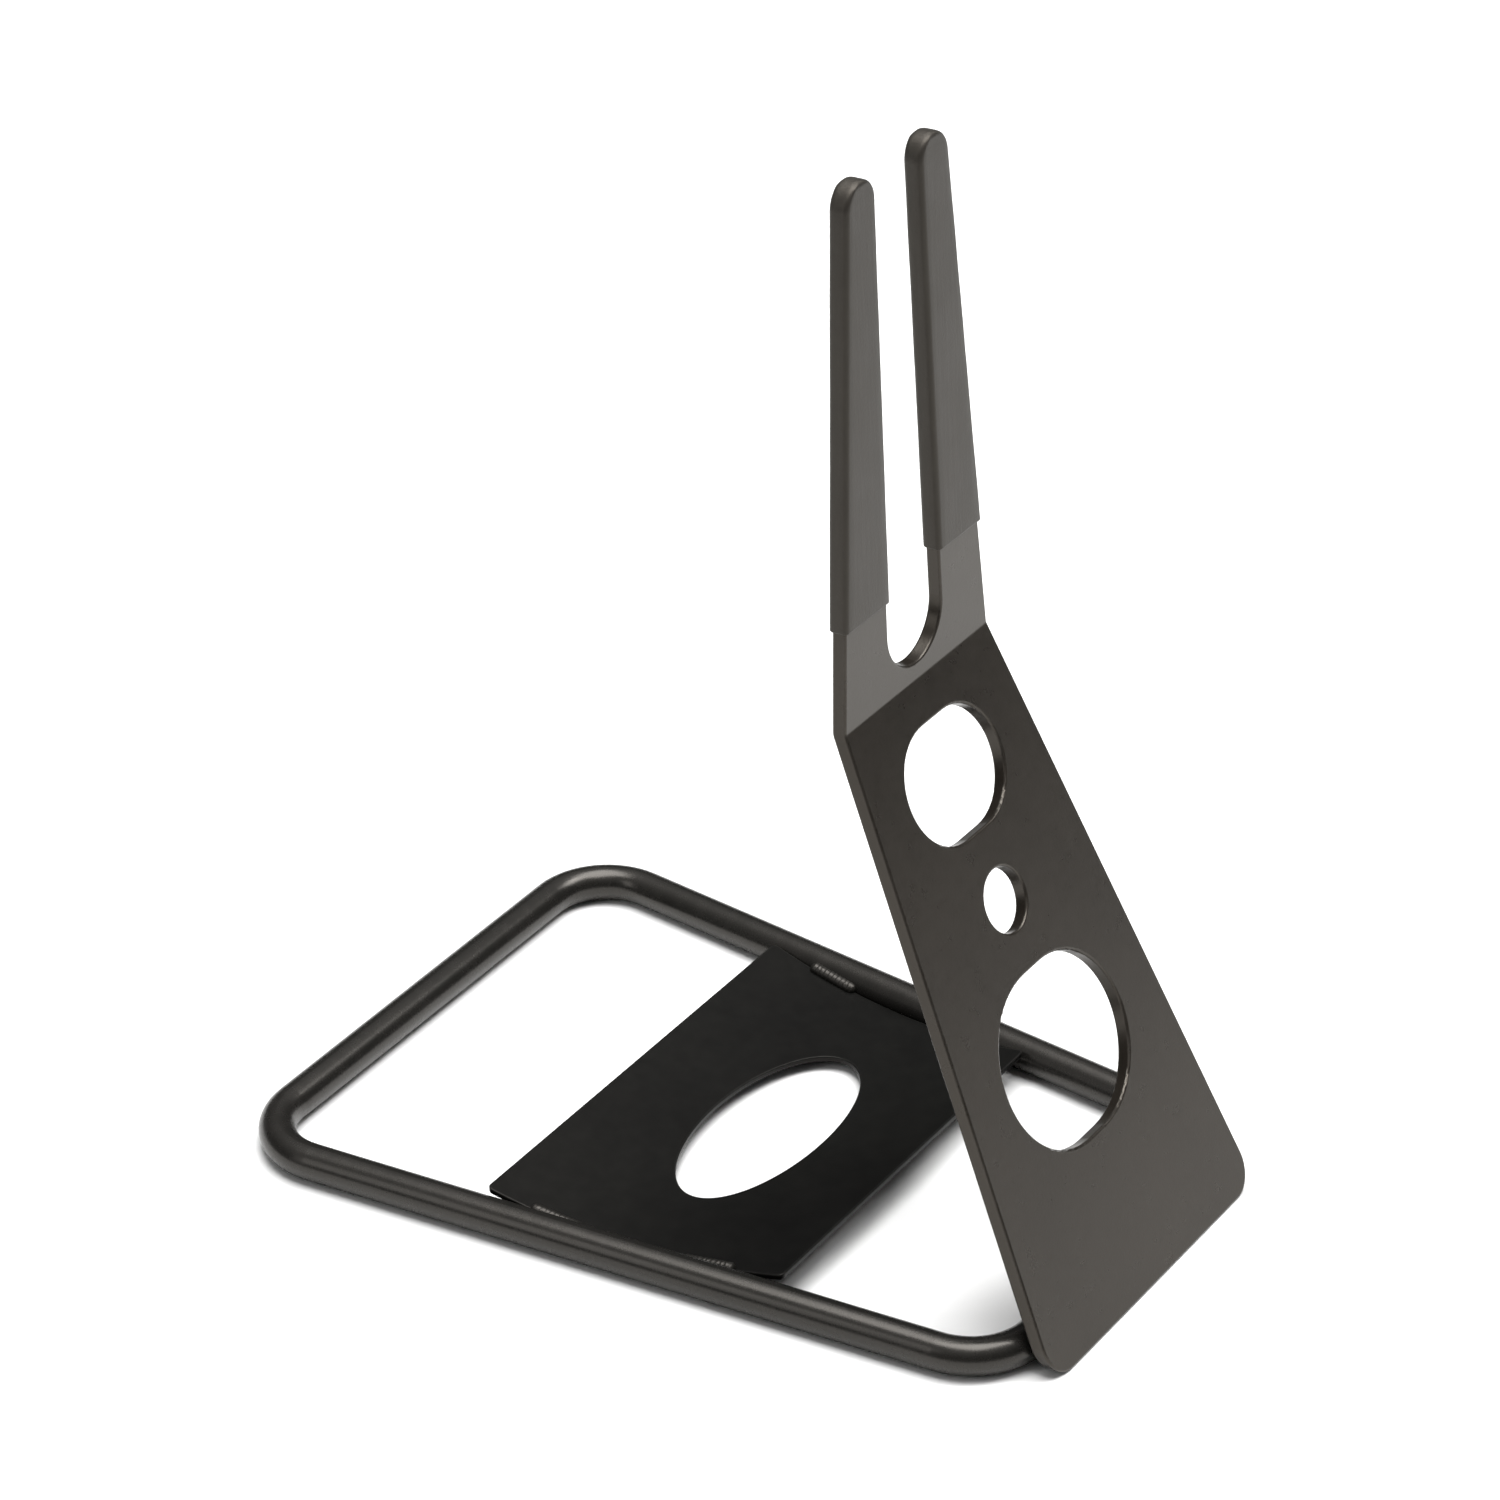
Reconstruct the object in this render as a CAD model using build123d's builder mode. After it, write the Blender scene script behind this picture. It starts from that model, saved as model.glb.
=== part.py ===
from build123d import *
import math
import os

# Floor stand that holds a bicycle upright by its rear or front hub.
#
# Frame: millimetres, +Z up. The origin is on the floor, under the middle of the tyre opening.
# +X runs along the wheel, +Y runs from the fork plate's side to the far end of the base loop.

os.makedirs("parts", exist_ok=True)

# Base loop: one round steel tube, bent into a trapezoid that lies on the floor.
tube_diameter = 12.7
tube_wall = 1.5
loop_far_edge_y = 150.0        # outermost line of the loop's far end
loop_near_width = 148.4        # between centre lines at the fork plate's end, before the bends
loop_far_width = 205.0         # the same at the far end
loop_bend_radius = 24.0        # centre line of the four bends
butt_weld_length = 2.0         # ring of weld where the tube's two ends meet

# Fork plate: one thick sheet, folded once, with two prongs beside the hub axle.
plate_thickness = 5.0
foot_y = -150.5                # front edge of the foot on the floor, before it is rounded
foot_width = 131.0
foot_corner_radius = 10.0
panel_angle = 65.0             # lower panel above the floor
panel_length = 218.5           # from the floor to the fold, on the front face
fold_width = 84.0
fold_radius = 1.5              # inside radius, on the front face
prong_angle = 87.3             # prongs above the floor
prong_height = 175.5           # from the fold to the tips, on the front face
prong_tip_span = 54.6          # across both prongs at their tips
slot_root_width = 31.6
slot_tip_width = 26.8
slot_root_height = 5.7         # metal left between the fold and the slot's round bottom
full_round_margin = 0.05       # what a fully rounded end keeps of flat, each side
fold_side_radius = 150.0       # eases the outline's corner at the fold
plate_edge_radius = 0.8

# Cut-outs in the lower panel: height of each centre up the slope, width, height.
upper_hole_up = 184.5
upper_hole_width = 52.0
upper_hole_height = 40.0
small_hole_up = 140.0
small_hole_diameter = 21.5
lower_hole_up = 86.0
lower_hole_width = 69.0
lower_hole_height = 59.5

# Sleeves over the prongs.
sleeve_wall = 1.0
sleeve_start_left = 34.0       # lower end, above the fold
sleeve_start_right = 38.0
sleeve_edge_radius = 1.7

# Cradle plate: thin sheet between the loop's two long tubes, dished towards the middle.
cradle_thickness = 2.0
cradle_depth = 109.0
cradle_dish_radius = 225.0     # of the underside
cradle_underside = 3.5         # lowest point above the floor
cradle_side_gap = 0.3          # root gap between the sheet's edge and the tube
cradle_corner_radius = 2.0
cradle_edge_radius = 0.4
opening_length = 93.6
opening_width = 42.0

# Weld beads.
fork_weld_root = 1.2           # height where the bead starts, above the line of contact
fork_weld_leg = 5.5            # height of its toe on the plate, above the same line
fork_weld_length = 32.0
fork_weld_spacing = 76.0
cradle_weld_radius = 2.6
cradle_weld_rise = 1.0         # bead centre above the sheet's top face
cradle_weld_length = 20.0
cradle_weld_spacing = 56.0

# Sizes that follow from those above.
tube_radius = tube_diameter / 2
bore_radius = tube_radius - tube_wall
panel_rad = math.radians(panel_angle)
prong_rad = math.radians(prong_angle)
fold_turn = prong_rad - panel_rad

panel_up = Vector(0, math.cos(panel_rad), math.sin(panel_rad))
panel_out = Vector(0, -math.sin(panel_rad), math.cos(panel_rad))
prong_up = Vector(0, math.cos(prong_rad), math.sin(prong_rad))
prong_out = Vector(0, -math.sin(prong_rad), math.cos(prong_rad))

foot_point = Vector(0, foot_y, 0)
fold_point = foot_point + panel_up * panel_length
top_point = fold_point + prong_up * prong_height
panel_plane = Plane(origin=foot_point, x_dir=(1, 0, 0), z_dir=panel_out)
prong_plane = Plane(origin=fold_point, x_dir=(1, 0, 0), z_dir=prong_out)

# The tube's near end lies against the back of the lower panel.
loop_near_gap = tube_radius + tube_radius * math.cos(panel_rad) + plate_thickness
loop_near_y = foot_y + loop_near_gap / math.sin(panel_rad)
loop_far_y = loop_far_edge_y - tube_radius
loop_depth = loop_far_y - loop_near_y
loop_splay = math.atan((loop_far_width - loop_near_width) / 2 / loop_depth)


def loop_half_width(y):
    """Distance of a long tube's centre line from the middle of the stand."""
    share = (y - loop_near_y) / loop_depth
    return (loop_near_width + (loop_far_width - loop_near_width) * share) / 2


# Base loop.
with BuildPart() as base_loop:
    with BuildLine(Plane.XY.offset(tube_radius)) as loop_path:
        FilletPolyline(
            (butt_weld_length / 2, loop_near_y),
            (loop_near_width / 2, loop_near_y),
            (loop_far_width / 2, loop_far_y),
            (-loop_far_width / 2, loop_far_y),
            (-loop_near_width / 2, loop_near_y),
            (-butt_weld_length / 2, loop_near_y),
            radius=loop_bend_radius,
        )
    with BuildSketch(Plane(origin=loop_path.line @ 0, z_dir=loop_path.line % 0)):
        Circle(tube_radius)
        Circle(bore_radius, mode=Mode.SUBTRACT)
    sweep()
base_loop.part.label = "base_loop"

# Weld ring that closes the loop, behind the fork plate.
with BuildPart() as loop_butt_weld:
    weld_end = Plane(origin=(-butt_weld_length / 2, loop_near_y, tube_radius), z_dir=(1, 0, 0))
    with BuildSketch(weld_end):
        Circle(tube_radius)
        Circle(bore_radius, mode=Mode.SUBTRACT)
    extrude(amount=butt_weld_length)
loop_butt_weld.part.label = "loop_butt_weld"


# Fork plate: the folded sheet, cut to the outline of its blank as seen from the front.
back_fold_rise = plate_thickness * math.tan(fold_turn / 2)
back_fold_point = fold_point - panel_out * plate_thickness + panel_up * back_fold_rise
slab_foot_point = foot_point - panel_up * plate_thickness
slab_foot_back_point = slab_foot_point - panel_out * plate_thickness
slab_top_point = top_point + prong_up * plate_thickness
slab_top_back_point = slab_top_point - prong_out * plate_thickness

slot_bottom_z = fold_point.Z + slot_root_height
slot_rise = top_point.Z - slot_bottom_z
prong_rise = top_point.Z - fold_point.Z
slot_lean = math.atan((slot_root_width - slot_tip_width) / 2 / slot_rise)
prong_lean = math.atan((fold_width - prong_tip_span) / 2 / prong_rise)
fold_seam_reach = 0.6 * plate_thickness    # the bend's own edges lie this near to the fold


def slot_half_width(z):
    """Half the slot's width between the bare prongs, at a height above the floor."""
    return slot_root_width / 2 - (z - slot_bottom_z) * math.tan(slot_lean)


def prong_half_span(z):
    """Distance of a bare prong's outer edge from the middle, at a height above the floor."""
    return fold_width / 2 - (z - fold_point.Z) * math.tan(prong_lean)


# Fillets that leave only the margin of flat between them, at the tips and at the slot's bottom.
tip_width = (prong_tip_span - slot_tip_width) / 2
tip_corner_lengths = math.tan(math.pi / 4 - prong_lean / 2) + math.tan(math.pi / 4 + slot_lean / 2)
tip_radius = (tip_width - 2 * full_round_margin) / tip_corner_lengths
root_radius = (slot_root_width / 2 - full_round_margin) * math.tan(math.pi / 4 - slot_lean / 2)


def corners_at(corners, height):
    """Corners of the outline at one height above the floor."""
    return corners.filter_by_position(Axis.Y, height - full_round_margin, height + full_round_margin)


def is_cut_edge(edge):
    """True for an edge where a cut face meets the sheet's front or back face."""
    if edge.geom_type != GeomType.LINE:
        return True
    direction = (edge.position_at(1) - edge.position_at(0)).normalized()
    through_outline = abs(direction.Y) > 0.999
    through_cutout = abs(direction.dot(panel_out)) > 0.999
    fold_distance = abs(edge.center().Z - fold_point.Z)
    fold_seam = abs(direction.X) > 0.999 and fold_distance < fold_seam_reach
    return not (through_outline or through_cutout or fold_seam)


with BuildPart() as fork_plate:
    with BuildSketch(Plane.YZ.offset(-foot_width / 2)):
        with BuildLine():
            Polyline(
                (slab_foot_point.Y, slab_foot_point.Z),
                (fold_point.Y, fold_point.Z),
                (slab_top_point.Y, slab_top_point.Z),
                (slab_top_back_point.Y, slab_top_back_point.Z),
                (back_fold_point.Y, back_fold_point.Z),
                (slab_foot_back_point.Y, slab_foot_back_point.Z),
                close=True,
            )
        make_face()
        front_fold_corner = vertices().sort_by_distance((fold_point.Y, fold_point.Z))[0]
        fillet(front_fold_corner, radius=fold_radius)
        back_fold_corner = vertices().sort_by_distance((back_fold_point.Y, back_fold_point.Z))[0]
        fillet(back_fold_corner, radius=fold_radius + plate_thickness)
    extrude(amount=foot_width)

    with BuildSketch(Plane.XZ):
        with BuildLine():
            Polyline(
                (-foot_width / 2, 0),
                (foot_width / 2, 0),
                (fold_width / 2, fold_point.Z),
                (prong_tip_span / 2, top_point.Z),
                (slot_tip_width / 2, top_point.Z),
                (slot_root_width / 2, slot_bottom_z),
                (-slot_root_width / 2, slot_bottom_z),
                (-slot_tip_width / 2, top_point.Z),
                (-prong_tip_span / 2, top_point.Z),
                (-fold_width / 2, fold_point.Z),
                close=True,
            )
        make_face()
        fillet(corners_at(vertices(), 0), radius=foot_corner_radius)
        fillet(corners_at(vertices(), top_point.Z), radius=tip_radius)
        fillet(corners_at(vertices(), slot_bottom_z), radius=root_radius)
        fillet(corners_at(vertices(), fold_point.Z), radius=fold_side_radius)
    extrude(amount=2 * abs(foot_y), both=True, mode=Mode.INTERSECT)

    with BuildSketch(panel_plane):
        with Locations((0, upper_hole_up)):
            SlotOverall(upper_hole_width, upper_hole_height)
        with Locations((0, small_hole_up)):
            Circle(small_hole_diameter / 2)
        with Locations((0, lower_hole_up)):
            SlotOverall(lower_hole_width, lower_hole_height)
    extrude(amount=-plate_thickness, mode=Mode.SUBTRACT)
    fillet(edges().filter_by(is_cut_edge), radius=plate_edge_radius)
fork_plate.part.label = "fork_plate"


# Sleeves: each wraps one prong with the same wall all round, and closes over its tip.
sleeve_top = prong_height + plate_thickness / math.tan(prong_rad) + sleeve_wall
sleeve_tip_radius = tip_radius + sleeve_wall


def sleeve_corner(side, outer, up):
    """Corner of a sleeve's outline, in the plane of the prongs."""
    z = fold_point.Z + up * math.sin(prong_rad)
    outer_x = prong_half_span(z) + sleeve_wall / math.cos(prong_lean)
    inner_x = slot_half_width(z) - sleeve_wall / math.cos(slot_lean)
    return (side * (outer_x if outer else inner_x), up)


def prong_sleeve(side, start, label):
    """Sleeve on the prong at one side, -1 or +1 along X."""
    with BuildPart() as sleeve:
        with BuildSketch(prong_plane.offset(sleeve_wall)):
            with BuildLine():
                Polyline(
                    sleeve_corner(side, True, start),
                    sleeve_corner(side, True, sleeve_top),
                    sleeve_corner(side, False, sleeve_top),
                    sleeve_corner(side, False, start),
                    close=True,
                )
            make_face()
            fillet(vertices().group_by(Axis.Y)[-1], radius=sleeve_tip_radius)
        extrude(amount=-(plate_thickness + 2 * sleeve_wall))
        side_edges = faces().filter_by(Axis((0, 0, 0), prong_out)).edges()
        lower_edges = faces().filter_by(Axis((0, 0, 0), prong_up)).sort_by(Axis.Z)[0].edges()
        fillet(side_edges - lower_edges, radius=sleeve_edge_radius)
        add(fork_plate.part, mode=Mode.SUBTRACT)
    sleeve.part.label = label
    return sleeve.part


prong_sleeve_left = prong_sleeve(-1, sleeve_start_left, "prong_sleeve_left")
prong_sleeve_right = prong_sleeve(1, sleeve_start_right, "prong_sleeve_right")


# Cradle plate.
dish_axis_z = cradle_underside + cradle_dish_radius
inner_dish_radius = cradle_dish_radius - cradle_thickness


def dish_underside(y):
    """Height of the cradle plate's underside above the floor."""
    return dish_axis_z - math.sqrt(cradle_dish_radius**2 - y**2)


def cradle_half_width(y):
    """Distance of the cradle plate's side from the middle, beside the tube."""
    return loop_half_width(y) - (tube_radius + cradle_side_gap) / math.cos(loop_splay)


with BuildPart() as cradle_plate:
    with BuildSketch(Plane.YZ):
        with Locations((0, dish_axis_z)):
            Circle(cradle_dish_radius)
            Circle(inner_dish_radius, mode=Mode.SUBTRACT)
        Rectangle(2 * cradle_depth, 2 * dish_axis_z, mode=Mode.INTERSECT)
    extrude(amount=loop_far_width, both=True)
    with BuildSketch(Plane.XY):
        near_y = -cradle_depth / 2
        far_y = cradle_depth / 2
        with BuildLine():
            Polyline(
                (-cradle_half_width(near_y), near_y),
                (cradle_half_width(near_y), near_y),
                (cradle_half_width(far_y), far_y),
                (-cradle_half_width(far_y), far_y),
                close=True,
            )
        make_face()
        fillet(vertices(), radius=cradle_corner_radius)
        Ellipse(opening_length / 2, opening_width / 2, mode=Mode.SUBTRACT)
    extrude(amount=dish_axis_z, mode=Mode.INTERSECT)
    lines_through_sheet = edges().filter_by(GeomType.LINE).filter_by(Axis.Z)
    fillet(edges() - lines_through_sheet, radius=cradle_edge_radius)
cradle_plate.part.label = "cradle_plate"

# Fork welds: two beads in the groove between the tube and the back of the fork plate.
contact_turn = math.pi - (math.pi / 2 - panel_rad)


def groove_point(height):
    """Points on the tube and on the plate's back, at one height above their line of contact."""
    turn = contact_turn - height / tube_radius
    on_tube = (loop_near_y + tube_radius * math.cos(turn), tube_radius + tube_radius * math.sin(turn))
    contact = Vector(0, loop_near_y, tube_radius) + panel_out * tube_radius
    on_plate = contact + panel_up * height
    return on_tube, (on_plate.Y, on_plate.Z)


def fork_weld(side, label):
    """Bead at one side, -1 or +1 along X."""
    root_on_tube, root_on_plate = groove_point(fork_weld_root)
    toe_on_tube, toe_on_plate = groove_point(fork_weld_leg)
    start_x = side * fork_weld_spacing / 2 - fork_weld_length / 2
    with BuildPart() as weld:
        with BuildSketch(Plane.YZ.offset(start_x)):
            with BuildLine():
                Polyline(root_on_tube, root_on_plate, toe_on_plate, toe_on_tube, close=True)
            make_face()
            with Locations((loop_near_y, tube_radius)):
                Circle(tube_radius, mode=Mode.SUBTRACT)
        extrude(amount=fork_weld_length)
    weld.part.label = label
    return weld.part


fork_weld_left = fork_weld(-1, "fork_weld_left")
fork_weld_right = fork_weld(1, "fork_weld_right")


# Cradle welds: four round-ended beads on top of the sheet, along the tubes.
def cradle_weld(side, weld_y, label):
    """Bead at one side, -1 or +1 along X, centred at weld_y."""
    slope = weld_y / math.sqrt(cradle_dish_radius**2 - weld_y**2)
    centre_z = dish_underside(weld_y) + cradle_thickness + cradle_weld_rise
    centre = Vector(side * cradle_half_width(weld_y), weld_y, centre_z)
    along = Vector(side * math.tan(loop_splay), 1, slope)
    bead_plane = Plane(origin=centre, x_dir=(side, 0, 0), z_dir=along)
    tube_point = (side * loop_half_width(weld_y), weld_y, tube_radius)
    tube_plane = Plane(origin=tube_point, z_dir=(side * math.tan(loop_splay), 1, 0))
    straight_length = cradle_weld_length - 2 * cradle_weld_radius
    ends = [bead_plane.offset(-straight_length / 2), bead_plane.offset(straight_length / 2)]
    with BuildPart() as weld:
        with Locations(bead_plane):
            Cylinder(cradle_weld_radius, straight_length)
        with Locations(*ends):
            Sphere(cradle_weld_radius)
        with Locations(tube_plane):
            Cylinder(tube_radius, 2 * cradle_weld_length, mode=Mode.SUBTRACT)
        add(cradle_plate.part, mode=Mode.SUBTRACT)
    weld.part.label = label
    return weld.part


near_weld_y = -cradle_weld_spacing / 2
far_weld_y = cradle_weld_spacing / 2
cradle_weld_near_left = cradle_weld(-1, near_weld_y, "cradle_weld_near_left")
cradle_weld_near_right = cradle_weld(1, near_weld_y, "cradle_weld_near_right")
cradle_weld_far_left = cradle_weld(-1, far_weld_y, "cradle_weld_far_left")
cradle_weld_far_right = cradle_weld(1, far_weld_y, "cradle_weld_far_right")

export_step(base_loop.part, "parts/base_loop.step")
export_step(loop_butt_weld.part, "parts/loop_butt_weld.step")
export_step(fork_plate.part, "parts/fork_plate.step")
export_step(prong_sleeve_left, "parts/prong_sleeve_left.step")
export_step(prong_sleeve_right, "parts/prong_sleeve_right.step")
export_step(cradle_plate.part, "parts/cradle_plate.step")
export_step(fork_weld_left, "parts/fork_weld_left.step")
export_step(fork_weld_right, "parts/fork_weld_right.step")
export_step(cradle_weld_near_left, "parts/cradle_weld_near_left.step")
export_step(cradle_weld_near_right, "parts/cradle_weld_near_right.step")
export_step(cradle_weld_far_left, "parts/cradle_weld_far_left.step")
export_step(cradle_weld_far_right, "parts/cradle_weld_far_right.step")
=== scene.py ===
import math

import bpy
from mathutils import Matrix, Vector, noise


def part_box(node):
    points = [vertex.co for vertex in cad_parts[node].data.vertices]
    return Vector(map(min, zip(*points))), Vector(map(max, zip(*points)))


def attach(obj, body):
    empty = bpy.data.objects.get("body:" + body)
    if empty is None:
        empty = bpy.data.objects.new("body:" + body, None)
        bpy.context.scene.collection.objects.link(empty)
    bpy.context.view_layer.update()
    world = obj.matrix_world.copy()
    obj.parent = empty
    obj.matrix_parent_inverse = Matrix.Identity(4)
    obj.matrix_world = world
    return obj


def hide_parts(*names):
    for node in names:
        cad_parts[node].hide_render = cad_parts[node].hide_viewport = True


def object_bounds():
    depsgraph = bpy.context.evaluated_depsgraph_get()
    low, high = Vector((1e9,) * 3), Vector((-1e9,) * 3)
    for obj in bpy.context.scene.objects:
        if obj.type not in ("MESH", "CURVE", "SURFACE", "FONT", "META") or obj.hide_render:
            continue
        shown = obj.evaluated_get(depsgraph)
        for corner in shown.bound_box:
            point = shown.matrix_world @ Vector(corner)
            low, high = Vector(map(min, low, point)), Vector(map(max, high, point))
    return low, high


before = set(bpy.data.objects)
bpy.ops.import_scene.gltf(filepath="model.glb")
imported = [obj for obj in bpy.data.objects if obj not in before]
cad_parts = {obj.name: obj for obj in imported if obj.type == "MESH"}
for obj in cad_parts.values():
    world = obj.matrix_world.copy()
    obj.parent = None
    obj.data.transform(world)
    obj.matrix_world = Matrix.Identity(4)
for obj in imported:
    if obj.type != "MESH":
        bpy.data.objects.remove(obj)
cad_low, cad_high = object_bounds()
centre = (cad_low + cad_high) / 2
scene = bpy.context.scene
MM = 0.001

# Camera: the photograph's viewing angle, aimed at the stand.
CAMERA_AZIMUTH = -56.4
CAMERA_ELEVATION = 30.0
CAMERA_DISTANCE = 1.702
CAMERA_ROLL = -0.9
CAMERA_LENS = 128.0
AIM_OFFSET = Vector((-0.0146, -0.0044, -0.0253))

# Directions and radii that the stand's pieces keep, in the frame of the CAD model.
PRONG_ANGLE = math.radians(87.3)
PRONG_LEAN = math.radians(4.78)
SLOT_LEAN = math.radians(0.811)
LOOP_WIDENING = 0.0283         # of each long tube, over the loop's depth
LOOP_DEPTH = 0.27865
TUBE_SPLAY = math.atan2(LOOP_WIDENING, LOOP_DEPTH)
TUBE_WALL = 1.5 * MM
DISH_RADIUS = 0.223            # top face of the cradle plate

SLIGHT_TINT = (1.0, 0.94, 0.87, 1.0)
WARM_TINT = (1.0, 0.90, 0.78, 1.0)

# Coats: two tones of the colour, colour of the edges (partly a thinner coat, partly a painted
# highlight of the rounded edges), range of roughness, width and depth of the grain in
# millimetres, share of the pale edge (worn and painted highlight), and tint of the reflection.
COATS = {
    "weld_coat": {
        "dark": (0.006, 0.006, 0.005), "light": (0.012, 0.011, 0.010),
        "edge": (0.03, 0.029, 0.027), "rough": (0.36, 0.46),
        "grain": 0.7, "depth": 0.015, "ior": 1.45, "wear_and_highlight": 0.2, "tint": SLIGHT_TINT,
    },
    "tube_coat": {
        "dark": (0.007, 0.007, 0.006), "light": (0.013, 0.012, 0.011),
        "edge": (0.05, 0.049, 0.046), "rough": (0.25, 0.29),
        "grain": 0.7, "depth": 0.006, "ior": 1.48, "wear_and_highlight": 0.0, "tint": SLIGHT_TINT,
    },
    "plate_coat": {
        "dark": (0.0075, 0.006, 0.0045), "light": (0.014, 0.0115, 0.009),
        "edge": (0.12, 0.118, 0.11), "rough": (0.27, 0.30),
        "grain": 0.7, "depth": 0.018, "ior": 1.48, "wear_and_highlight": 0.7, "tint": WARM_TINT,
    },
    # The cradle's two tones are painted shade: the same black coat as the other parts, made darker
    # as though in shadow.
    "cradle_coat": {
        "dark": (0.003, 0.003, 0.003), "light": (0.006, 0.006, 0.0055),
        "edge": (0.05, 0.049, 0.046), "rough": (0.30, 0.36),
        "grain": 0.8, "depth": 0.016, "ior": 1.22, "wear_and_highlight": 0.5, "tint": SLIGHT_TINT,
    },
}
# Noise settings are scale, detail and roughness; ranges are low and high.
COAT_CLOUDS = (14.0, 4.0, 0.6)
COAT_MOTTLE = (160.0, 5.0, 0.65)
COAT_MOTTLE_SHARE = 0.45
COAT_TONE_STOPS = (0.45, 0.95)
COAT_WAVE_SIZE = 4.5           # of the slower wave, in grains
COAT_WAVE_SHARE = 0.8
EDGE_RADIUS = 1.1 * MM
EDGE_COSINES = (0.995, 0.9)    # where the edge mask starts and where it is full
# Patches that break up the pale edges, the wear and the painted highlight alike.
WEAR_AND_HIGHLIGHT_PATCHES = (90.0, 6.0, 0.7)
WEAR_AND_HIGHLIGHT_PATCH_RANGE = (0.35, 0.65, 0.25, 1.0)
WORN_ROUGHNESS = -0.06
MOTTLE_RANGE = (0.3, 0.7)

# Sleeve vinyl.
VINYL_DRAW = (1.0, 1.0, 0.06)  # stretches the drag lines along the sleeve
VINYL_CLOUDS = (30.0, 4.0, 0.6)
VINYL_LINES = (700.0, 3.0, 0.55)
VINYL_FINE = (1300.0, 1.0, 0.5)
VINYL_SCUFFS = (55.0, 8.0, 0.75)
VINYL_SCUFF_RANGE = (0.60, 0.72, 0.0, 0.35)
VINYL_SCUFF_ROUGHNESS = 0.2
VINYL_LINE_TONE = 0.35
VINYL_LINE_HEIGHT = 1.2
VINYL_TONES = [(0.4, (0.0145, 0.013, 0.0115)), (0.95, (0.029, 0.0265, 0.0225))]
VINYL_SCUFF = (0.055, 0.054, 0.051, 1.0)
VINYL_ROUGHNESS = (0.42, 0.52)
VINYL_GRAIN_DEPTH = 0.035 * MM
VINYL_IOR = 1.43
VINYL_SHEEN = 0.08
VINYL_SHEEN_ROUGHNESS = 0.4


# Studio: the room's tone by height of the direction, and each soft box's place, target,
# width, height and power.
ROOM_TONES = [(0.45, (0.05, 0.05, 0.05)), (1.0, (0.75, 0.75, 0.75))]
ROOM_STRENGTH = 0.9
LIGHTS = [
    ("overhead", (0.2, 0.0, 2.6), (0.0, 0.0, 0.0), 2.0, 2.0, 104.0),
    ("left", (-2.2, 0.9, 1.4), (0.0, 0.0, 0.1), 0.8, 1.4, 8.0),
    ("front_floor", (0.9, -0.9, 1.9), (0.5, -0.5, 0.0), 0.9, 0.9, 24.0),
]
FLOOR_HALF = 9.0
FLOOR_TONES = [(0.3, (0.86, 0.86, 0.855)), (0.7, (0.88, 0.88, 0.875))]
FLOOR_GRAIN = (40.0, 3.0, 0.5)
FLOOR_ROUGHNESS = 0.7


def make_camera():
    azimuth = math.radians(CAMERA_AZIMUTH)
    elevation = math.radians(CAMERA_ELEVATION)
    back = Vector((
        math.sin(azimuth) * math.cos(elevation),
        -math.cos(azimuth) * math.cos(elevation),
        math.sin(elevation),
    ))
    data = bpy.data.cameras.new("camera")
    data.lens = CAMERA_LENS
    data.sensor_width = 36.0
    data.clip_start = 0.05
    data.clip_end = 60.0
    camera = bpy.data.objects.new("camera", data)
    scene.collection.objects.link(camera)
    camera.location = centre + back * CAMERA_DISTANCE
    view_direction = centre + AIM_OFFSET - camera.location
    camera.rotation_mode = "QUATERNION"
    aim = view_direction.to_track_quat("-Z", "Y")
    roll = Matrix.Rotation(math.radians(CAMERA_ROLL), 3, "Z").to_quaternion()
    camera.rotation_quaternion = aim @ roll
    scene.camera = camera


def area_light(name, location, target, size_x, size_y, power):
    data = bpy.data.lights.new(name, "AREA")
    data.shape = "RECTANGLE"
    data.size = size_x
    data.size_y = size_y
    data.energy = power
    light = bpy.data.objects.new(name, data)
    scene.collection.objects.link(light)
    light.location = location
    direction = Vector(target) - Vector(location)
    light.rotation_mode = "QUATERNION"
    light.rotation_quaternion = direction.to_track_quat("-Z", "Y")


def make_lights():
    """Soft boxes overhead, at the left and over the front, in a room dark near the horizon."""
    world = bpy.data.worlds.new("studio")
    scene.world = world
    world.use_nodes = True
    tree = world.node_tree
    background = tree.nodes["Background"]
    direction = tree.nodes.new("ShaderNodeTexCoord")
    split = tree.nodes.new("ShaderNodeSeparateXYZ")
    tree.links.new(direction.outputs["Generated"], split.inputs[0])
    ramp = ramp_node(tree, split, "Z", ROOM_TONES)
    tree.links.new(ramp.outputs[0], background.inputs["Color"])
    background.inputs["Strength"].default_value = ROOM_STRENGTH
    scene.view_settings.view_transform = "Standard"
    for light in LIGHTS:
        area_light(*light)


# Node trees.
def link(tree, source, output, target, socket):
    tree.links.new(source.outputs[output], target.inputs[socket])


def noise_texture(tree, coordinates, scale, detail, roughness):
    texture = tree.nodes.new("ShaderNodeTexNoise")
    texture.inputs["Scale"].default_value = scale
    texture.inputs["Detail"].default_value = detail
    texture.inputs["Roughness"].default_value = roughness
    link(tree, coordinates, "Vector", texture, "Vector")
    return texture


def ramp_node(tree, source, output, stops):
    ramp = tree.nodes.new("ShaderNodeValToRGB")
    while len(ramp.color_ramp.elements) < len(stops):
        ramp.color_ramp.elements.new(0.5)
    for element, (position, colour) in zip(ramp.color_ramp.elements, stops):
        element.position = position
        element.color = (*colour, 1.0)
    link(tree, source, output, ramp, 0)
    return ramp


def range_node(tree, source, output, low, high, to_low, to_high):
    mapped = tree.nodes.new("ShaderNodeMapRange")
    mapped.inputs["From Min"].default_value = low
    mapped.inputs["From Max"].default_value = high
    mapped.inputs["To Min"].default_value = to_low
    mapped.inputs["To Max"].default_value = to_high
    link(tree, source, output, mapped, "Value")
    return mapped


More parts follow.
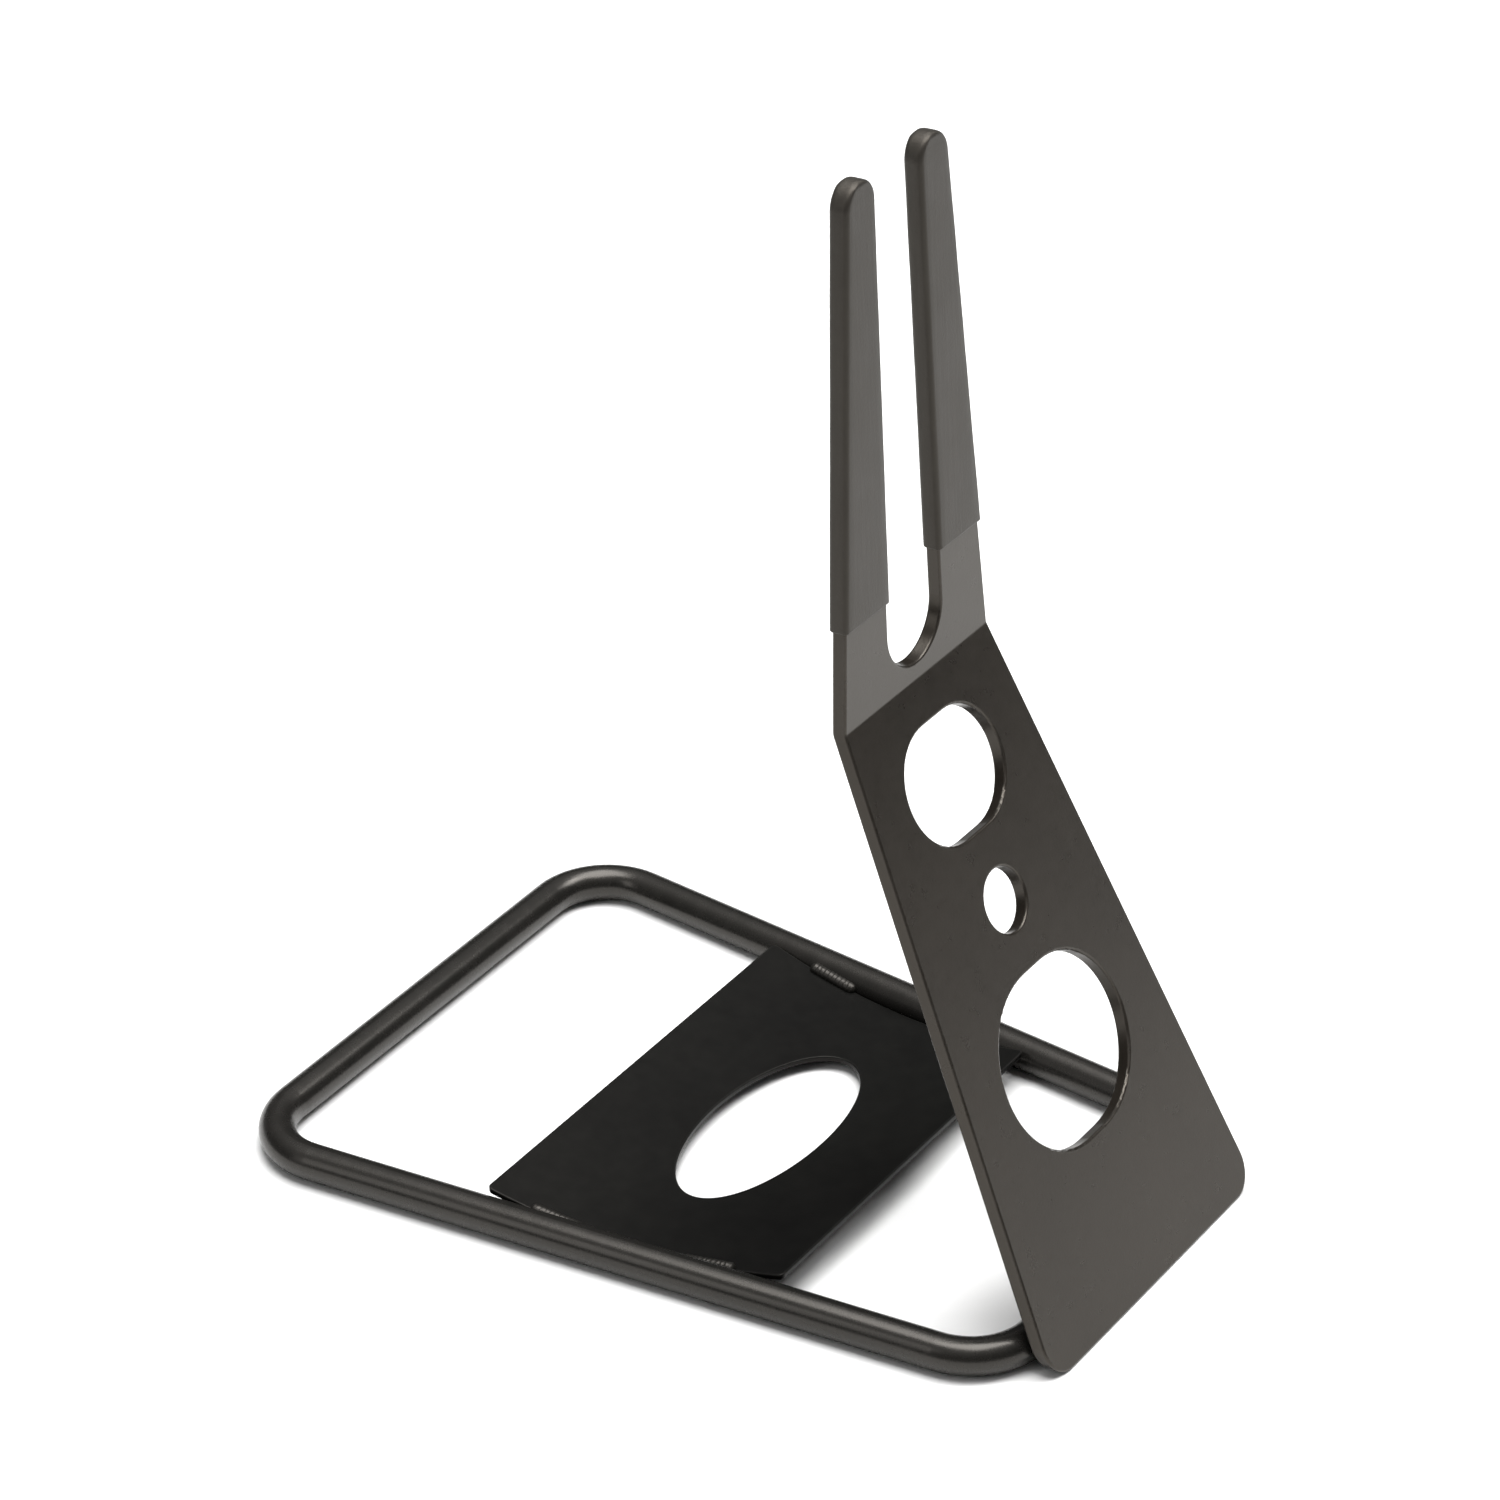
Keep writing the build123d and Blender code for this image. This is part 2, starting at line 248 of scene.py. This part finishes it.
def math_node(tree, operation, *values):
    """A Math node; each value is a number or a (node, output) pair."""
    node = tree.nodes.new("ShaderNodeMath")
    node.operation = operation
    for i, value in enumerate(values):
        if isinstance(value, tuple):
            tree.links.new(value[0].outputs[value[1]], node.inputs[i])
        else:
            node.inputs[i].default_value = value
    return node


def edge_mask(tree, radius):
    """1 where the surface bends within the radius, 0 on flats."""
    bevel = tree.nodes.new("ShaderNodeBevel")
    bevel.samples = 6
    bevel.inputs["Radius"].default_value = radius
    geometry = tree.nodes.new("ShaderNodeNewGeometry")
    dot = tree.nodes.new("ShaderNodeVectorMath")
    dot.operation = "DOT_PRODUCT"
    link(tree, bevel, "Normal", dot, 0)
    link(tree, geometry, "Normal", dot, 1)
    return range_node(tree, dot, "Value", *EDGE_COSINES, 0.0, 1.0)


def coordinates_of(tree, stretch=(1.0, 1.0, 1.0)):
    texture_coordinates = tree.nodes.new("ShaderNodeTexCoord")
    mapping = tree.nodes.new("ShaderNodeMapping")
    mapping.inputs["Scale"].default_value = stretch
    link(tree, texture_coordinates, "Object", mapping, "Vector")
    return mapping


def coated_metal(name):
    """Black powder coat: fine grain, slow colour variation, and paler edges, partly a thinner coat
    and partly a painted highlight.
    """
    coat = COATS[name]
    material = bpy.data.materials.new(name)
    material.use_nodes = True
    tree = material.node_tree
    shader = tree.nodes["Principled BSDF"]
    place = coordinates_of(tree)
    clouds = noise_texture(tree, place, *COAT_CLOUDS)
    mottle = noise_texture(tree, place, *COAT_MOTTLE)
    fine = noise_texture(tree, place, 1000.0 / coat["grain"], 1.0, 0.5)

    tone = math_node(tree, "MULTIPLY_ADD", (mottle, "Fac"), COAT_MOTTLE_SHARE, (clouds, "Fac"))
    stops = list(zip(COAT_TONE_STOPS, (coat["dark"], coat["light"])))
    colour = ramp_node(tree, tone, "Value", stops)

    # Edges: paler and a little smoother, broken up by noise; the paler colour is partly a thinner
    # coat and partly a painted highlight of the rounded edges.
    edge = edge_mask(tree, EDGE_RADIUS)
    patches = noise_texture(tree, place, *WEAR_AND_HIGHLIGHT_PATCHES)
    patch = range_node(tree, patches, "Fac", *WEAR_AND_HIGHLIGHT_PATCH_RANGE)
    worn_and_highlit = math_node(tree, "MULTIPLY", (edge, "Result"), (patch, "Result"))
    wear_and_highlight_share = math_node(tree, "MULTIPLY", (worn_and_highlit, "Value"), coat["wear_and_highlight"])
    # Pale edge colour mixed in: partly a thinner coat, partly a painted highlight.
    mix = tree.nodes.new("ShaderNodeMix")
    mix.data_type = "RGBA"
    mix.inputs["B"].default_value = (*coat["edge"], 1.0)
    link(tree, wear_and_highlight_share, "Value", mix, "Factor")
    tree.links.new(colour.outputs["Color"], mix.inputs["A"])
    tree.links.new(mix.outputs["Result"], shader.inputs["Base Color"])

    rough = range_node(tree, mottle, "Fac", *MOTTLE_RANGE, *coat["rough"])
    smoother = math_node(
        tree, "MULTIPLY_ADD", (worn_and_highlit, "Value"), WORN_ROUGHNESS, (rough, "Result"))
    link(tree, smoother, "Value", shader, "Roughness")

    # Grain of the coat: fine orange peel over a slower wave.
    wave = noise_texture(tree, place, 1000.0 / (coat["grain"] * COAT_WAVE_SIZE), 2.0, 0.5)
    height = math_node(tree, "MULTIPLY_ADD", (wave, "Fac"), COAT_WAVE_SHARE, (fine, "Fac"))
    bump = tree.nodes.new("ShaderNodeBump")
    bump.inputs["Strength"].default_value = 1.0
    bump.inputs["Distance"].default_value = coat["depth"] * MM
    link(tree, height, "Value", bump, "Height")
    link(tree, bump, "Normal", shader, "Normal")
    shader.inputs["IOR"].default_value = coat["ior"]
    shader.inputs["Specular Tint"].default_value = coat["tint"]
    return material


def sleeve_vinyl():
    """Satin black vinyl: soft sheen, fine lengthwise drag lines and small scuffs."""
    material = bpy.data.materials.new("sleeve_vinyl")
    material.use_nodes = True
    tree = material.node_tree
    shader = tree.nodes["Principled BSDF"]
    place = coordinates_of(tree)
    drawn = coordinates_of(tree, VINYL_DRAW)
    clouds = noise_texture(tree, place, *VINYL_CLOUDS)
    lines = noise_texture(tree, drawn, *VINYL_LINES)
    fine = noise_texture(tree, place, *VINYL_FINE)
    scuffs = noise_texture(tree, place, *VINYL_SCUFFS)

    tone = math_node(tree, "MULTIPLY_ADD", (lines, "Fac"), VINYL_LINE_TONE, (clouds, "Fac"))
    colour = ramp_node(tree, tone, "Value", VINYL_TONES)
    scuff = range_node(tree, scuffs, "Fac", *VINYL_SCUFF_RANGE)
    mix = tree.nodes.new("ShaderNodeMix")
    mix.data_type = "RGBA"
    mix.inputs["B"].default_value = VINYL_SCUFF
    link(tree, scuff, "Result", mix, "Factor")
    tree.links.new(colour.outputs["Color"], mix.inputs["A"])
    tree.links.new(mix.outputs["Result"], shader.inputs["Base Color"])

    rough = range_node(tree, clouds, "Fac", *MOTTLE_RANGE, *VINYL_ROUGHNESS)
    rougher = math_node(
        tree, "MULTIPLY_ADD", (scuff, "Result"), VINYL_SCUFF_ROUGHNESS, (rough, "Result"))
    link(tree, rougher, "Value", shader, "Roughness")

    height = math_node(tree, "MULTIPLY_ADD", (lines, "Fac"), VINYL_LINE_HEIGHT, (fine, "Fac"))
    bump = tree.nodes.new("ShaderNodeBump")
    bump.inputs["Strength"].default_value = 1.0
    bump.inputs["Distance"].default_value = VINYL_GRAIN_DEPTH
    link(tree, height, "Value", bump, "Height")
    link(tree, bump, "Normal", shader, "Normal")
    shader.inputs["IOR"].default_value = VINYL_IOR
    shader.inputs["Specular Tint"].default_value = WARM_TINT
    shader.inputs["Sheen Weight"].default_value = VINYL_SHEEN
    shader.inputs["Sheen Roughness"].default_value = VINYL_SHEEN_ROUGHNESS
    return material


def give(node, material):
    """Puts a material into a CAD node's slots."""
    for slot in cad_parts[node].material_slots:
        slot.material = material


def new_piece(name, vertices, faces, material, slot, *nodes):
    """A smooth-shaded closed mesh that stands for CAD nodes and rides on the stand."""
    mesh = bpy.data.meshes.new(name)
    mesh.from_pydata(vertices, [], faces)
    mesh.polygons.foreach_set("use_smooth", [True] * len(mesh.polygons))
    mesh.materials.append(material)
    mesh.validate()
    mesh.update()
    piece = bpy.data.objects.new(name, mesh)
    scene.collection.objects.link(piece)
    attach(piece, "root")
    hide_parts(*nodes)


def tube_of_rings(rings):
    """Faces of a closed skin over rings of equal length, with a fan at either end."""
    count = len(rings[0])
    vertices = [point for ring in rings for point in ring]
    faces = []
    for i in range(len(rings) - 1):
        for j in range(count):
            k = (j + 1) % count
            low, high = i * count, (i + 1) * count
            faces.append((low + j, low + k, high + k, high + j))
    for ring_start, flip in ((0, True), ((len(rings) - 1) * count, False)):
        middle = sum((Vector(vertices[ring_start + j]) for j in range(count)), Vector()) / count
        vertices.append(middle)
        apex = len(vertices) - 1
        for j in range(count):
            k = (j + 1) % count
            side = (ring_start + j, ring_start + k)
            faces.append((side[1], side[0], apex) if flip else (side[0], side[1], apex))
    return vertices, faces


# Weld beads.
BEAD_SIDES = 32
BEAD_STEP = 0.28 * MM
BEAD_END_MARGIN = 0.02 * MM    # keeps the end rings open, so that a fan can close them
RIPPLE_PITCH = 1.7 * MM
RIPPLE_HEIGHT = 0.22 * MM
RIPPLE_MEAN = 0.6
RIPPLE_SHARPNESS = 1.6
RIPPLE_BOW = 0.55              # how far a ripple trails at the bead's sides, in pitches
RIPPLE_SHIFT = 0.37            # from one bead's ripples to the next bead's, in pitches
RIPPLE_UNEVEN = 0.35
SWELL = 0.12 * MM
FORK_BEAD_UP = Vector((0, 0.604, 0.797))
FORK_BEAD_RADIUS = 2.55 * MM
FORK_BEAD_DROP = 0.35 * MM
CRADLE_BEAD_RADIUS = 2.6 * MM
CRADLE_BEAD_SHARE = 0.85       # of that radius, for the modelled bead
CRADLE_BEAD_DROP = 0.4 * MM
CRADLE_BEAD_TILT = 0.45
RING_CROWN = 0.38 * MM
RING_RIPPLE = 0.16 * MM
RING_BOW = 0.5
RING_OVERLAP = 1.25            # ring's width over the CAD ring's, where it meets the tube
RING_LOW_START = 0.2           # how far below the tube's middle the crown starts, in radii
RING_AROUND = 144
RING_ACROSS = 14


def rippled_bead(name, middle, along, up, length, radius, node, seed):
    """A round-ended bead whose surface shows the overlapping crescents of the weld pool."""
    along = along.normalized()
    across = along.cross(up).normalized()
    up = across.cross(along)
    half = length / 2
    rings = []
    steps = round(length / BEAD_STEP)
    for i in range(steps + 1):
        travel = -half + length * i / steps
        travel = max(-half + BEAD_END_MARGIN, min(half - BEAD_END_MARGIN, travel))
        over_end = max(0.0, abs(travel) - (half - radius))
        taper = math.sqrt(max(0.0, 1.0 - (over_end / radius) ** 2))
        ring = []
        for j in range(BEAD_SIDES):
            angle = 2 * math.pi * j / BEAD_SIDES
            outward = up * math.cos(angle) + across * math.sin(angle)
            phase = travel / RIPPLE_PITCH - RIPPLE_BOW * (1.0 - math.cos(angle))
            phase += seed * RIPPLE_SHIFT
            phase += RIPPLE_UNEVEN * noise.noise(Vector((travel * 260, seed * 7.1, angle * 0.3)))
            crest = (phase % 1.0) ** RIPPLE_SHARPNESS
            swell = SWELL * noise.noise(Vector((travel * 150, seed * 3.3, 0.0)))
            reach = radius * taper + (RIPPLE_HEIGHT * (crest - RIPPLE_MEAN) + swell) * taper
            ring.append(middle + along * travel + outward * reach)
        rings.append(ring)
    vertices, faces = tube_of_rings(rings)
    new_piece(name, vertices, faces, weld_material, "weld_coat", node)


def fork_weld_bead(node, seed):
    """The bead lies in the corner between the fork plate's back and the tube."""
    low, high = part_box(node)
    middle = (low + high) / 2 - FORK_BEAD_UP * FORK_BEAD_DROP
    along = Vector((1, 0, 0))
    length = high.x - low.x
    rippled_bead(node + "_bead", middle, along, FORK_BEAD_UP, length, FORK_BEAD_RADIUS, node, seed)


def cradle_weld_bead(node, seed):
    """The bead lies in the corner between the sheet and the tube, and climbs with the dish."""
    low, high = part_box(node)
    side = 1.0 if low.x > 0 else -1.0
    middle_y = (low.y + high.y) / 2
    slope = middle_y / math.sqrt(DISH_RADIUS ** 2 - middle_y ** 2)
    along = Vector((side * math.tan(TUBE_SPLAY), 1.0, slope))
    radius = CRADLE_BEAD_RADIUS
    reach = (high.y - low.y) / 2 - radius
    inner_x = min(abs(low.x), abs(high.x)) + radius + math.tan(TUBE_SPLAY) * reach
    middle = Vector((side * inner_x, middle_y, high.z - radius - abs(slope) * reach))
    up = Vector((-side * CRADLE_BEAD_TILT, 0.0, 1.0)).normalized()
    middle -= up * CRADLE_BEAD_DROP
    length = high.y - low.y
    rippled_bead(node + "_bead", middle, along, up, length, radius * CRADLE_BEAD_SHARE, node, seed)


def butt_weld_ring():
    """A low rippled ring round the tube, flush where it rests on the floor."""
    low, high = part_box("loop_butt_weld")
    middle = (low + high) / 2
    radius = (high.z - low.z) / 2
    bore = radius - TUBE_WALL
    half_width = (high.x - low.x) / 2
    around, across = RING_AROUND, RING_ACROSS
    vertices, faces = [], []
    for i in range(around):
        angle = 2 * math.pi * i / around
        outward = Vector((0, math.cos(angle), math.sin(angle)))
        lift = max(0.0, math.sin(angle) + RING_LOW_START) / (1.0 + RING_LOW_START)
        for j in range(across + 1):
            share = -1.0 + 2.0 * j / across
            swelling = (1.0 - share ** 2) * lift
            phase = angle * radius / RIPPLE_PITCH - RING_BOW * share ** 2
            crest = (phase % 1.0) ** RIPPLE_SHARPNESS
            reach = radius + (RING_CROWN + RING_RIPPLE * (crest - RIPPLE_MEAN)) * swelling
            aside = Vector((share * half_width * RING_OVERLAP, 0, 0))
            vertices.append(middle + outward * reach + aside)
        for share in (1.0, -1.0):
            vertices.append(middle + outward * bore + Vector((share * half_width, 0, 0)))
    ring = across + 3
    for i in range(around):
        k = (i + 1) % around
        for j in range(ring):
            m = (j + 1) % ring
            faces.append((i * ring + j, k * ring + j, k * ring + m, i * ring + m))
    name = "loop_butt_weld_ring"
    new_piece(name, vertices, faces, weld_material, "weld_coat", "loop_butt_weld")


# Sleeves.
SLEEVE_WALL = 1.0 * MM
SLEEVE_ROUND = 1.7 * MM
CORNER_STEPS = 5
LONG_STEPS = 8
SHORT_STEPS = 3
LINING_SHARE = 0.9             # of the wall
LINING_STEPS = 36
LINING_END_MARGIN = 0.05 * MM
TIP_END_MARGIN = 0.01 * MM
BODY_STEPS = 70
TIP_STEPS = 22
BODY_START = 1.6 * MM
FLAT_MARGIN = 0.98             # most of the half width or depth that a corner may take
LEAST_HALF = 0.12 * MM
LEAST_CORNER = 0.3 * MM
SURFACE_WAVE = 0.09 * MM
SURFACE_WAVE_START = 4         # body steps over which the waves grow from nothing
SURFACE_WAVE_SCALE = 60.0
FINE_WAVE_SCALE = 240.0
FINE_WAVE_SHARE = 0.35         # of the slower wave's height
EDGE_WANDER = 0.22 * MM
EDGE_WANDER_SCALE = 90.0
# Travel from the lower edge and shrink of the outside there, in millimetres.
LIP = [(0.0, 0.55), (0.06, 0.22), (0.22, 0.05), (0.5, 0.0), (0.9, 0.0)]


def rounded_section(half_width, half_depth, radius):
    """Points round a rectangle with round corners, anticlockwise, always the same number."""
    radius = min(radius, half_width * FLAT_MARGIN, half_depth * FLAT_MARGIN)
    flat_w, flat_d = half_width - radius, half_depth - radius
    points = []
    corners = ((1, -1, -math.pi / 2), (1, 1, 0.0), (-1, 1, math.pi / 2), (-1, -1, math.pi))
    for index, (sx, sy, start) in enumerate(corners):
        for step in range(CORNER_STEPS + 1):
            angle = start + math.pi / 2 * step / CORNER_STEPS
            x = sx * flat_w + radius * math.cos(angle)
            y = sy * flat_d + radius * math.sin(angle)
            points.append((x, y))
        following = corners[(index + 1) % 4]
        end_angle = start + math.pi / 2
        x0 = sx * flat_w + radius * math.cos(end_angle)
        y0 = sy * flat_d + radius * math.sin(end_angle)
        x1 = following[0] * flat_w + radius * math.cos(following[2])
        y1 = following[1] * flat_d + radius * math.sin(following[2])
        steps = SHORT_STEPS if index % 2 == 0 else LONG_STEPS
        for step in range(1, steps):
            share = step / steps
            points.append((x0 + (x1 - x0) * share, y0 + (y1 - y0) * share))
    return points


def round_off(radius, remaining):
    """How much a round end has narrowed, with so much of its length remaining."""
    drop = max(radius - remaining, 0.0)
    return radius - math.sqrt(max(radius ** 2 - drop ** 2, 0.0))


def sleeve(node, side, seed):
    """A drawn-on sleeve: even wall, closed round tip, and a slightly uneven rolled lower edge."""
    low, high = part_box(node)
    up = Vector((0, math.cos(PRONG_ANGLE), math.sin(PRONG_ANGLE)))
    out = Vector((0, -math.sin(PRONG_ANGLE), math.cos(PRONG_ANGLE)))
    outer_low = max(abs(low.x), abs(high.x))
    inner_high = min(abs(low.x), abs(high.x))
    rise = high.z - low.z
    box_length = rise / math.sin(PRONG_ANGLE)
    depth = (high.y - low.y - box_length * math.cos(PRONG_ANGLE)) / math.sin(PRONG_ANGLE)
    front_foot = Vector((0, low.y, low.z)) + up * (depth * math.cos(PRONG_ANGLE))
    foot_y = low.y + depth / 2 * math.sin(PRONG_ANGLE)
    foot_z = front_foot.z - depth / 2 * math.cos(PRONG_ANGLE)
    foot = Vector((0, foot_y, foot_z))
    inner_low = inner_high + rise * math.tan(SLOT_LEAN)
    outer_high = outer_low - rise * math.tan(PRONG_LEAN)
    tip_radius = (outer_high - inner_high) / 2
    length = (high.z - foot.z) / math.sin(PRONG_ANGLE) - depth / 2 / math.tan(PRONG_ANGLE)

    def section(travel, inset, waviness):
        share = travel / length
        outer = outer_low + (outer_high - outer_low) * share
        inner = inner_low + (inner_high - inner_low) * share
        half_width = (outer - inner) / 2
        middle_x = side * (outer + inner) / 2
        from_tip = length - travel
        half_width -= round_off(tip_radius, from_tip)
        half_depth = depth / 2 - round_off(SLEEVE_ROUND, from_tip)
        half_width = max(half_width - inset, LEAST_HALF)
        half_depth = max(half_depth - inset, LEAST_HALF)
        corner = max(SLEEVE_ROUND - inset, LEAST_CORNER)
        ring = []
        for x, y in rounded_section(half_width, half_depth, corner):
            point = foot + up * travel + Vector((middle_x + x, 0, 0)) + out * y
            if waviness:
                outward = (Vector((x, 0, 0)) + out * y).normalized()
                where = point * SURFACE_WAVE_SCALE + Vector((seed, 0, 0))
                point += outward * (waviness * noise.noise(where))
                fine = noise.noise(point * FINE_WAVE_SCALE)
                point += outward * (FINE_WAVE_SHARE * waviness * fine)
            ring.append(point)
        return ring

    def edge_line(point_x):
        """How far the cut lower edge wanders, along the sleeve."""
        where = Vector((point_x * EDGE_WANDER_SCALE, seed * 5.0, 0.0))
        return EDGE_WANDER * noise.noise(where)

    inner_skin, outer_skin = [], []
    inset = SLEEVE_WALL * LINING_SHARE
    inner_top = length - inset
    for i in range(LINING_STEPS + 1):
        travel = inner_top * math.sin(math.pi / 2 * i / LINING_STEPS)
        travel = min(travel, inner_top - LINING_END_MARGIN)
        inner_skin.append(section(travel, inset, 0.0))
    for travel, shrink in LIP:
        outer_skin.append(section(travel * MM, shrink * MM, 0.0))
    for i in range(BODY_STEPS + 1):
        travel = BODY_START + (length - tip_radius - BODY_START) * i / BODY_STEPS
        outer_skin.append(section(travel, 0.0, SURFACE_WAVE * min(1.0, i / SURFACE_WAVE_START)))
    for i in range(1, TIP_STEPS + 1):
        travel = length - tip_radius + tip_radius * math.sin(math.pi / 2 * i / TIP_STEPS)
        wave = SURFACE_WAVE * (1 - i / TIP_STEPS)
        outer_skin.append(section(min(travel, length - TIP_END_MARGIN), 0.0, wave))
    rings = list(reversed(inner_skin)) + outer_skin
    for ring in rings[len(inner_skin) - 1:len(inner_skin) + len(LIP)]:
        for index, point in enumerate(ring):
            ring[index] = point + up * edge_line(point.x)
    vertices, faces = tube_of_rings(rings)
    faces = [tuple(reversed(face)) for face in faces]    # the rings run from the inside outwards
    new_piece(node + "_skin", vertices, faces, vinyl_material, "sleeve_vinyl", node)


def make_floor():
    half = FLOOR_HALF
    mesh = bpy.data.meshes.new("floor")
    corners = [(-half, -half, 0), (half, -half, 0), (half, half, 0), (-half, half, 0)]
    mesh.from_pydata(corners, [], [(0, 1, 2, 3)])
    floor = bpy.data.objects.new("floor", mesh)
    scene.collection.objects.link(floor)
    material = bpy.data.materials.new("floor")
    material.use_nodes = True
    tree = material.node_tree
    shader = tree.nodes["Principled BSDF"]
    place = coordinates_of(tree)
    grain = noise_texture(tree, place, *FLOOR_GRAIN)
    tone = ramp_node(tree, grain, "Fac", FLOOR_TONES)
    tree.links.new(tone.outputs["Color"], shader.inputs["Base Color"])
    shader.inputs["Roughness"].default_value = FLOOR_ROUGHNESS
    mesh.materials.append(material)


make_camera()
make_lights()

weld_material = coated_metal("weld_coat")
tube_material = coated_metal("tube_coat")
plate_material = coated_metal("plate_coat")
cradle_material = coated_metal("cradle_coat")
vinyl_material = sleeve_vinyl()

give("base_loop", tube_material)
give("fork_plate", plate_material)
give("cradle_plate", cradle_material)

fork_weld_bead("fork_weld_left", 1)
fork_weld_bead("fork_weld_right", 2)
cradle_weld_bead("cradle_weld_near_left", 3)
cradle_weld_bead("cradle_weld_near_right", 4)
cradle_weld_bead("cradle_weld_far_left", 5)
cradle_weld_bead("cradle_weld_far_right", 6)
butt_weld_ring()
sleeve("prong_sleeve_left", -1.0, 1.7)
sleeve("prong_sleeve_right", 1.0, 4.2)
make_floor()
